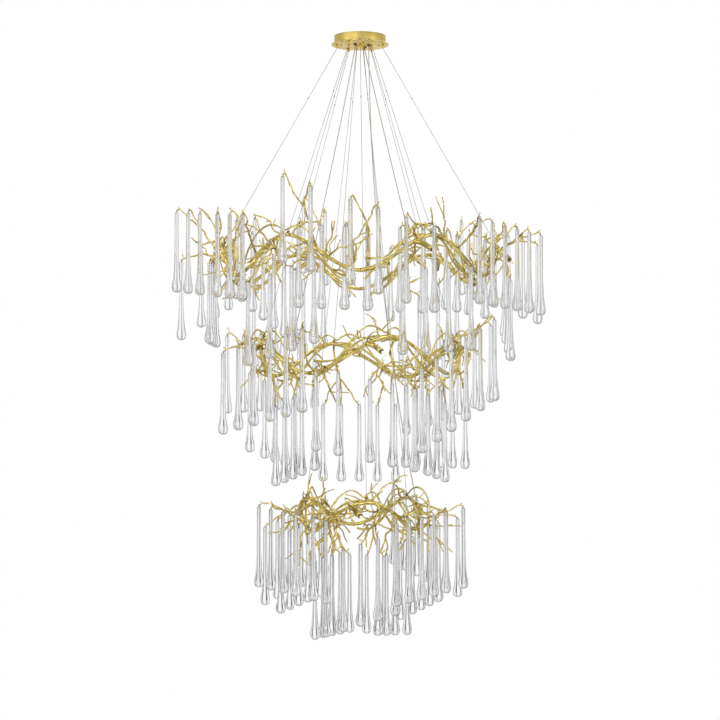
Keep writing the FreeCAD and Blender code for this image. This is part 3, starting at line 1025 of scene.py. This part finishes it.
@dataclass
class Growth:
    """Plans what grows on one casting, with one source of scatter."""

    tier: BranchTier
    index: int
    dice: random.Random
    stem_radius: float = 0.0062
    runs_per_degree: float = 0.6
    least_runs: int = 24
    phases: float = 6.28
    sway: Ripple = Ripple(0.0035, 9.0)
    heave: Ripple = Ripple(0.003, 13.0)
    swell: Ripple = Ripple(0.10, 17.0)
    vines: tuple = (Vine(0.5, math.pi / 2, 0.0034, 0.018), Vine(1.0, -1.2, 0.00272, 0.040))
    lug_neck: float = 0.8
    lug_radii: tuple = (0.0050, 0.0044, 0.0034)
    lamp_tube: LampTube = LampTube()
    twig: Twig = Twig()
    spur: Spur = Spur()
    shoot: Shoot = Shoot()

    def jitter(self, reach: float) -> Vector:
        """Random offset within a cube."""
        return Vector([self.dice.uniform(-reach, reach) for _ in range(3)])

    def draw(self, span: tuple) -> float:
        """Random number within a span."""
        return self.dice.uniform(*span)

    def add(self, strand: Strand) -> None:
        """Add a strand to the casting."""
        self.tier.strands.setdefault(self.index, []).append(strand)

    def plan_stem(self) -> None:
        """Plan the main tube and the vines that wind along it."""
        tier = self.tier
        runs = max(self.least_runs, round(tier.width * self.runs_per_degree))
        phase = self.dice.uniform(0, self.phases)
        points, radii = [], []
        for share in (step / runs for step in range(runs + 1)):
            angle = tier.angle_at(self.index, share)
            calm = math.sin(math.pi * share)
            points.append(tier.ring_point(angle) + radial(angle) * self.sway.at(share, phase, calm)
                          + UP * self.heave.at(share, phase, calm))
            radii.append(self.stem_radius * (1 + self.swell.at(share, phase)))
        self.add(Strand(points, radii, Sides.STEM, True))
        for vine in self.vines:
            points, radii = [], []
            for step in range(runs + 1):
                share = vine.margin + (1 - 2 * vine.margin) * step / runs
                angle = tier.angle_at(self.index, share)
                lift = abs(math.sin(math.pi * (vine.lifts * share + vine.offset)))
                reach = self.stem_radius + vine.radius + vine.away * lift
                turn = 2 * math.pi * vine.turns * share + vine.offset
                points.append(tier.ring_point(angle)
                              + radial(angle) * (reach * vine.flat * math.cos(turn))
                              + UP * (reach * vine.tall * math.sin(turn)))
                radii.append(vine.radius * (1 + vine.swell.at(step / runs, phase)))
            self.add(Strand(points, radii, Sides.VINE))

    def plan_fittings(self) -> None:
        """Plan the lugs and the lamp tube."""
        tier, tube = self.tier, self.lamp_tube
        crest = tier.crest(self.index)
        anchors = [(crest, tier.grip_foot(crest))]
        if tier.casting_of(tier.ring_point(tier.cable_angle)) == self.index:
            anchors.append((tier.cable_angle, tier.gland_foot()))
        for angle, anchor in anchors:
            foot, top = tier.ring_point(angle), tier.lug_top(angle, anchor)
            self.add(Strand([foot, foot.lerp(top, self.lug_neck), top], self.lug_radii,
                            Sides.LUG, True))
        self.add(Strand(tube.line(tier, self.index)[:3], tube.radii, Sides.LAMP_TUBE,
                        True).smooth(tube.pace))

    def plan_twig(self, hooks: list, seed: int) -> None:
        """Plan a forked twig that carries two or three drops, with a few bare spurs.

        Args:
            hooks: Points that its drops hang from.
            seed: Number of the twig in its tier.
        """
        tier, twig = self.tier, self.twig
        goal = sum(hooks, Vector()) / len(hooks)
        angle = angle_of(goal)
        within = (angle - tier.start) % tier.width
        leaning = min(max(within + twig.lean * scattered(seed), twig.margin),
                      tier.width - twig.margin)
        root = tier.ring_point(angle - within + leaning)
        kink = tangent(angle) * (twig.kink * scattered(seed + twig.KINK_DRAW))
        bow = UP * (twig.bow + twig.bow_scatter * scattered(seed + twig.BOW_DRAW))
        fork = root + (goal - root) * twig.fork + bow - kink
        first = hooks[seed % len(hooks)]
        for tip in [first] + [hook for hook in hooks if hook is not first]:
            outward = Vector((tip.x - fork.x, tip.y - fork.y, 0.0)).normalized()
            knuckle = tip + (UP - outward) * twig.beak
            bend = fork.lerp(knuckle, 0.5) + self.jitter(twig.bend_jitter)
            line = [fork, bend, knuckle, tip]
            radii = [twig.tip_radius * share for share in twig.side_taper]
            if tip is first:
                line = [root, root.lerp(fork, 0.5) + self.jitter(twig.elbow_jitter)] + line
                radii = ([twig.radius * share for share in twig.root_taper]
                         + [twig.tip_radius * share for share in twig.tip_taper])
            strand = Strand(line, radii, Sides.TWIG, True).smooth(twig.pace, twig.wander)
            ear = outward + UP + self.jitter(twig.ear_jitter)
            self.add(Strand([bend.lerp(knuckle, twig.ear_root), knuckle,
                             knuckle + ear * self.draw(twig.ear_length)],
                            [twig.tip_radius] * 3, Sides.SPUR))
            strand.knot(self.dice)
            self.add(strand)
            self.plan_spurs(strand, self.dice.choice(twig.spurs), twig.spur_length)

    def plan_spurs(self, strand: Strand, count: int, length: float) -> None:
        """Plan short bare side shoots along a strand.

        Args:
            strand: Strand that they grow from.
            count: How many.
            length: Their usual length.
        """
        spur = self.spur
        for _ in range(count):
            place = self.dice.randrange(1, max(2, len(strand.points) - 3))
            here = strand.points[place]
            along = (strand.points[place + 1] - strand.points[place - 1]).normalized()
            aside = self.jitter(1.0)
            aside = (aside - along * aside.dot(along)).normalized()
            heading = (along * spur.forward + aside + UP * spur.rise).normalized()
            long = length * self.draw(spur.size)
            bend = here + heading * (long * spur.bend) + self.jitter(long * spur.bend_jitter)
            tip = here + heading * long + UP * (long * self.draw(spur.droop))
            thick = min(strand.radii[place] * spur.thickness, self.twig.tip_radius)
            grown = Strand([here, bend, tip], [thick * share for share in spur.taper],
                           Sides.SPUR).smooth(spur.pace)
            if self.tier.is_free(grown.points[spur.hidden:]):
                self.add(grown)

    def plan_shoots(self) -> None:
        """Plan the longer bare shoots that leave the casting and fork."""
        tier, shoot = self.tier, self.shoot
        grown = 0
        while grown < tier.shoots:
            angle = tier.angle_at(self.index, self.draw(shoot.place))
            heading = tangent(angle) * self.draw(shoot.around)
            heading = heading + radial(angle) * self.draw(shoot.outward)
            heading = (heading + UP * self.draw(shoot.upward)).normalized()
            aside = heading.cross(self.jitter(1.0)).normalized()
            long = self.draw(shoot.size) * shoot.length
            root = tier.ring_point(angle)
            line = [root]
            for step, bow in (*shoot.bows, (1.0, self.draw(shoot.end_bow))):
                line.append(root + heading * (long * step) + aside * (long * bow)
                            + self.jitter(shoot.jitter))
            thick = shoot.radius * self.draw(shoot.thickness)
            strand = Strand(line, [thick * share for share in shoot.taper],
                            Sides.TWIG).smooth(shoot.pace, shoot.wander)
            if tier.is_free(strand.points):
                grown += 1
                strand.knot(self.dice)
                self.add(strand)
                self.plan_spurs(strand, self.dice.choice(shoot.spurs), shoot.spur_length)


# ---- what hangs with the rings


@dataclass
class Assembly:
    """A sub-assembly that goes with all the rings."""

    shop: Workshop
    tiers: list

    @property
    def sectors(self) -> list:
        """Each tier with the number of each of its castings."""
        return [(tier, index) for tier in self.tiers for index in range(tier.castings)]


@dataclass
class Canopy(Assembly):
    """Drum, face plate, grips, glands and the pieces inside the drum."""

    drum_radius: float = 0.0825
    drum_height: float = 0.027
    drum_wall: float = 0.0015
    plate_radius: float = 0.092
    plate_thickness: float = 0.003
    rim_steps: int = 96
    screw_steps: int = 20
    drum_crisp: float = 0.0004
    plate_crisp: float = 0.0011
    screw_reach: float = 0.060
    screw_radius: float = 0.0020
    grip_depth: float = 0.040
    gland_depth: float = 0.038
    gland_circle: float = 0.030
    bead: tuple = ((-0.0022, -0.0001), (-0.0008, -0.0003), (0.0003, 0.0004), (0.0008, 0.0015),
                   (0.0003, 0.0027), (-0.0008, 0.0034), (-0.0022, 0.0031))
    screw_head: tuple = ((0.0, -0.0024), (0.0009, -0.0024), (0.0009, -0.0015), (0.0016, -0.0016),
                         (0.0024, -0.0020), (0.0034, -0.0012), (0.0040, -0.0001))
    grip: Turning = Turning((
        (0.0, 0.0), (0.0012, 0.0), (0.0020, 0.0008), (0.0030, 0.0012), (0.0040, 0.0026),
        (0.0042, 0.0040), (0.0037, 0.0044), (0.0037, 0.0054), (0.0042, 0.0058),
        (0.0042, 0.0084), (0.0034, 0.0100), (0.0, 0.0100)), 16)
    gland: Turning = Turning((
        (0.0, 0.0), (0.0022, 0.0), (0.0028, 0.0020), (0.0042, 0.0034), (0.0058, 0.0040),
        (0.0060, 0.0052), (0.0060, 0.0080), (0.0, 0.0080)), 18)

    def build(self) -> None:
        """Build the canopy from the drum down."""
        turn, centre = self.shop.turn, [Matrix()]
        inner, outer, rim = self.drum_radius - self.drum_wall, self.drum_radius, self.plate_radius
        top, bottom = -self.drum_height, -self.drum_height - self.plate_thickness
        drum = Turning(((inner, top), (outer, top), (outer, 0.0), (inner, 0.0)),
                       self.rim_steps, self.drum_crisp)
        turn("drum", drum, centre, Slot.BRUSHED_GOLD, "canopy_drum")
        plate = Turning(((0.0, bottom), (rim, bottom), (rim, top), (0.0, top)),
                        self.rim_steps, self.plate_crisp)
        turn("face_plate", plate, centre, Slot.BRUSHED_GOLD, "canopy_face_plate")
        bead = Turning([(rim + out, bottom + rise) for out, rise in self.bead], self.rim_steps)
        turn("plate_bead", bead, centre, Slot.POLISHED_GOLD)
        screw = [(radius, bottom + rise) for radius, rise in self.screw_head]
        screw += [(self.screw_radius, bottom), (self.screw_radius, 0.0), (0.0, 0.0)]
        holes = [Matrix.Translation((side * self.screw_reach, 0.0, 0.0)) for side in (-1, 1)]
        turn("domed_screws", Turning(screw, self.screw_steps), holes, Slot.BRUSHED_GOLD,
             "canopy_screws")
        grips = [Matrix.Translation(tier.grip_foot(tier.crest(index)))
                 for tier, index in self.sectors]
        turn("barrel_grips", self.grip, grips, Slot.GRIP_GOLD, "wire_grips")
        glands = [Matrix.Translation(tier.gland_foot()) for tier in self.tiers]
        turn("strain_reliefs", self.gland, glands, Slot.DARK_PLASTIC, "cable_glands")
        for node, slot in (("ceiling_bracket", Slot.ZINC_STEEL),
                           ("led_driver", Slot.WHITE_PLASTIC),
                           ("terminal_block", Slot.TERMINAL_PLASTIC)):
            self.shop.dress(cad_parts[node], slot)


@dataclass
class Suspension(Assembly):
    """Taut steel wires and the slack power cables."""

    wire_radius: float = 0.0007
    cable_radius: float = 0.0016
    clearance: float = 0.0003
    crimp_depth: float = 0.200
    crimp: Turning = Turning(((0.0, -0.003), (0.0013, -0.003), (0.0016, -0.002),
                              (0.0016, 0.002), (0.0013, 0.003), (0.0, 0.003)), 10)

    SHARES = tuple(step / 64 for step in range(65))

    def build(self) -> None:
        """Build the cables first, then the wires with their small crimps."""
        for tier in self.tiers:
            self._cable(tier)
        mesh = bmesh.new()
        for tier, index in self.sectors:
            angle = tier.crest(index)
            foot = tier.grip_foot(angle)
            end = tier.lug_top(angle, foot)
            pull = (foot - end).normalized()
            top = foot - UP * self.clearance
            end = end + pull * self.clearance
            Strand([top, top.lerp(end, 0.5), end], [self.wire_radius] * 3, Sides.WIRE,
                   True).grow(mesh)
            share = (self.crimp_depth + top.z) / (top.z - end.z)
            self.crimp.add_to(mesh, aimed(top.lerp(end, share), pull))
        self.shop.finish("steel_wires", mesh, Slot.STEEL_WIRE, "suspension_wires")

    def _cable(self, tier: BranchTier) -> None:
        """Hang one tier's power cable.

        Args:
            tier: The tier that it feeds.
        """
        foot = tier.gland_foot()
        end = tier.lug_top(tier.cable_angle, foot)
        end = end + (foot - end).normalized() * self.clearance
        top = foot - UP * self.clearance
        sag = (top + end) * 0.5 - radial(tier.cable_angle) * (2 * tier.cable_sag)
        curve = bpy.data.curves.new(f"{tier.name}_power_cable", "CURVE")
        curve.dimensions = "3D"
        curve.resolution_u = 32
        curve.bevel_depth = self.cable_radius
        curve.bevel_resolution = 3
        curve.use_fill_caps = True
        spline = curve.splines.new("NURBS")
        spline.points.add(2)
        for point, place in zip(spline.points, (top, sag, end)):
            point.co = (*place, 1.0)
        spline.order_u = 3
        spline.use_endpoint_u = True
        piece = add_object(curve.name, curve)
        self.shop.dress(piece, Slot.CLEAR_CABLE, "power_cables", body=FIXTURE)

    def _length(self, top: Vector, sag: Vector, end: Vector) -> float:
        """Length in metres of the curve that three control points give."""
        line = [top * (1 - s) ** 2 + sag * (2 * s * (1 - s)) + end * s ** 2 for s in self.SHARES]
        return sum((there - here).length for here, there in zip(line, line[1:]))


@dataclass
class Lamps(Assembly):
    """Sockets in the lamp tubes and the small lamps that stand in them."""

    socket: Turning = Turning((
        (0.0, 0.0), (0.0072, 0.0), (0.0078, 0.0016), (0.0074, 0.0048), (0.0058, 0.0050),
        (0.0054, 0.0030), (0.0, 0.0030)), 20)
    capsule: Turning = Turning((
        (0.0, 0.0031), (0.0044, 0.0031), (0.0048, 0.0060), (0.0048, 0.0205), (0.0040, 0.0236),
        (0.0022, 0.0249), (0.0, 0.0250)), 14)
    tube: LampTube = LampTube()

    def build(self) -> None:
        """Build every socket and lamp."""
        places = [aimed(*self.tube.line(tier, index)[2:]) for tier, index in self.sectors]
        self.shop.turn("socket_rings", self.socket, places, Slot.DARK_SOCKET, "lamp_sockets")
        self.shop.turn("lamp_capsules", self.capsule, places, Slot.WARM_LAMP, "led_bulbs")


@dataclass
class GlassDrops(Assembly):
    """Rows of long glass drops, each on a small wire loop."""

    drop: Turning = Turning((
        (0.0, 0.0), (0.0048, -0.0003), (0.0062, -0.0030), (0.0066, -0.0800), (0.0073, -0.1450),
        (0.0094, -0.1920), (0.0118, -0.2140), (0.0150, -0.2280), (0.0163, -0.2390),
        (0.0138, -0.2490), (0.0080, -0.2545), (0.0, -0.2560)), 10)
    turns: float = 40.0
    loop_radius: float = 0.0052
    loop_wire: float = 0.00055
    loop_overlap: float = 0.0022
    loop_sides: int = 4
    loop_steps: int = 9

    def build(self) -> None:
        """Hang every line of drops with its loops."""
        for tier in self.tiers:
            for row, line in tier.lines:
                node = f"{row}_drops_{line}"
                glass, loops = bmesh.new(), bmesh.new()
                for hook in tier.hooks_of(row, line):
                    turn = Matrix.Rotation(hook.x * self.turns, 4, "Z")
                    self.drop.add_to(glass, Matrix.Translation(hook) @ turn)
                    self._loop(loops, hook)
                self.shop.finish(f"{row}_glass_{line}", glass, Slot.CLEAR_GLASS, node, body=node)
                self.shop.finish(f"{row}_loops_{line}", loops, Slot.STEEL_WIRE, body=node)

    def _loop(self, mesh: BMesh, hook: Vector) -> None:
        """Add the wire loop that joins a drop to its twig.

        Args:
            mesh: The bmesh that grows.
            hook: Top of the drop.
        """
        part = bmesh.new()
        ring = bmesh.ops.create_circle(part, segments=self.loop_sides, radius=self.loop_wire,
                                       matrix=Matrix.Translation((self.loop_radius, 0, 0))
                                       @ Matrix.Rotation(math.pi / 2, 4, "X"))
        spin_round(part, ring["verts"], self.loop_steps)
        centre = hook + UP * (self.loop_radius - self.loop_overlap)
        inward = -Vector((hook.x, hook.y, 0.0)).normalized()
        bmesh.ops.transform(part, matrix=aimed(centre, inward), verts=part.verts)
        join(mesh, part)


# ---- studio


@dataclass(frozen=True)
class SoftLamp:
    """A square lamp that faces the chandelier."""

    name: str
    place: tuple
    size: float
    power: float

    TARGET = Vector((0.0, 0.0, -1.0))

    def build(self) -> None:
        """Hang the lamp. The glass doesn't show it."""
        data = bpy.data.lights.new(self.name, "AREA")
        data.size = self.size
        data.energy = self.power
        lamp = add_object(self.name, data)
        lamp.location = self.place
        heading = self.TARGET - Vector(self.place)
        lamp.rotation_euler = heading.to_track_quat("-Z", "Y").to_euler()
        lamp.visible_transmission = False


@dataclass(frozen=True)
class Prop:
    """A dull piece of the studio, which isn't part of the object."""

    name: str
    color: tuple

    DULL = 0.9

    def build(self) -> Object:
        """Put the piece into the scene.

        Returns:
            The piece.
        """
        mesh = bmesh.new()
        self.draw(mesh)
        piece = add_mesh(self.name, mesh)
        piece.data.materials.append(Finish(self.color, self.DULL).build(self.name))
        return piece


@dataclass(frozen=True)
class Disc(Prop):
    """A level disc round the object's axis."""

    segments: int
    radius: float
    height: float

    def draw(self, mesh: BMesh) -> None:
        """Lay the disc into a bmesh."""
        bmesh.ops.create_circle(mesh, cap_ends=True, segments=self.segments, radius=self.radius,
                                matrix=Matrix.Translation((0.0, 0.0, self.height)))


@dataclass(frozen=True)
class CardRing(Prop):
    """Upright cards in a ring round the object."""

    low: float
    high: float
    count: int = 9
    distance: float = 3.4
    width: float = 0.80

    def draw(self, mesh: BMesh) -> None:
        """Stand the cards in their ring.

        Args:
            mesh: The bmesh that takes them.
        """
        upright = (Matrix.Translation((0.0, self.distance, (self.low + self.high) / 2))
                   @ Matrix.Rotation(math.pi / 2, 4, "X")
                   @ Matrix.Diagonal((self.width, self.high - self.low, 1, 1)))
        for index in range(self.count):
            turn = Matrix.Rotation(2 * math.pi * (index + 0.5) / self.count, 4, "Z")
            bmesh.ops.create_grid(mesh, x_segments=1, y_segments=1, size=0.5,
                                  matrix=turn @ upright)


@dataclass
class Studio:
    """Camera, soft lamps, white surroundings, a pale floor, and cards outside the picture.

    Grey cards are what a photographer of clear glass stands round it, for its edges to draw:
    only glass and metal show them, and they cast no shadow.
    """

    distance: float = 6.4
    eye_height: float = -1.22
    view_height: float = -1.042
    frame_width: float = 2.315
    lens: float = 100.0
    soft_level: float = 0.55
    floor: Disc = Disc("floor", (0.76, 0.76, 0.76), 96, 2.4, -2.75)
    cards: tuple = (CardRing("side_cards", (0.50, 0.50, 0.51), -1.78, 1.9),
                    CardRing("low_cards", (0.14, 0.14, 0.15), -4.0, -1.78),
                    Disc("top_card", (0.80, 0.80, 0.81), 32, 4.08, 1.9))
    lamps: tuple = (SoftLamp("key", (-2.9, -3.2, 0.6), 4.6, 110.0),
                    SoftLamp("fill", (3.2, -2.6, -0.6), 4.0, 55.0),
                    SoftLamp("top", (0.4, 1.4, 1.6), 2.6, 45.0))

    def build(self) -> None:
        """Set up the whole studio."""
        bpy.context.scene.view_settings.view_transform = "Standard"
        self._camera()
        self._world()
        self.floor.build()
        for card in (card.build() for card in self.cards):
            card.visible_camera = False
            card.visible_diffuse = False
            card.visible_shadow = False
        for lamp in self.lamps:
            lamp.build()

    def _camera(self) -> None:
        """Place the camera as the photograph's was."""
        data = bpy.data.cameras.new("camera")
        data.lens = self.lens
        data.sensor_width = self.lens * self.frame_width / self.distance
        data.shift_y = (self.view_height - self.eye_height) / self.frame_width
        camera = add_object("camera", data)
        camera.location = (0.0, -self.distance, self.eye_height)
        camera.rotation_euler = (math.pi / 2, 0.0, 0.0)
        bpy.context.scene.camera = camera

    def _world(self) -> None:
        """White surroundings that the camera, metal and glass see, and a softer light."""
        world = bpy.data.worlds.new("studio")
        world.use_nodes = True
        wiring = Wiring(world.node_tree)
        path = wiring.add("LightPath", {})
        seen = path["Is Camera Ray"]
        for label in ("Is Glossy Ray", "Is Transmission Ray"):
            seen = wiring.add("Math", {0: seen, 1: path[label]}, operation="MAXIMUM")["Value"]
        level = wiring.add("MapRange", {"Value": seen, "To Min": self.soft_level, "To Max": 1.0})
        wiring.feed(world.node_tree.nodes["Background"],
                    {"Color": (1.0, 1.0, 1.0), "Strength": level["Result"]})
        bpy.context.scene.world = world


# ---- chandelier


def make_tiers() -> list:
    """Describe the tiers as the model has them.

    Returns:
        The three tiers, from the top down.
    """
    return [
        BranchTier("upper", castings=6, start=0.0, radius=0.440, height=0.730, wave=0.055,
                   grip_circle=0.074, gland_angle=150.0, cable_angle=155.0, cable_sag=0.004,
                   rows={"upper_outer": 6, "upper_under": 6, "upper_inner": 3}, shoots=7),
        BranchTier("middle", castings=4, start=-29.0, radius=0.320, height=1.035, wave=0.055,
                   grip_circle=0.038, gland_angle=-30.0, cable_angle=-45.0, cable_sag=0.010,
                   rows={"middle_outer": 4, "middle_under": 3, "middle_inner": 3}, shoots=8),
        BranchTier("lower", castings=3, start=-54.0, radius=0.190, height=1.535, wave=0.045,
                   grip_circle=0.012, gland_angle=70.0, cable_angle=104.0, cable_sag=0.036,
                   rows={"lower_outer": 4, "lower_under": 3, "lower_inner": 3}, shoots=11),
    ]


def main() -> None:
    """Build the studio and every piece of the chandelier."""
    logging.basicConfig(level=logging.INFO, format="%(name)s: %(message)s")
    noise.seed_set(NOISE_SEED)
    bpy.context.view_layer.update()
    Studio().build()
    ShaderGroups().build()
    shop = Workshop({slot: slot.value.build(slot.label) for slot in Slot})
    tiers = make_tiers()
    Suspension(shop, tiers).build()
    Canopy(shop, tiers).build()
    for tier in tiers:
        tier.build(shop)
    Lamps(shop, tiers).build()
    GlassDrops(shop, tiers).build()


if __name__ == "__main__":
    main()
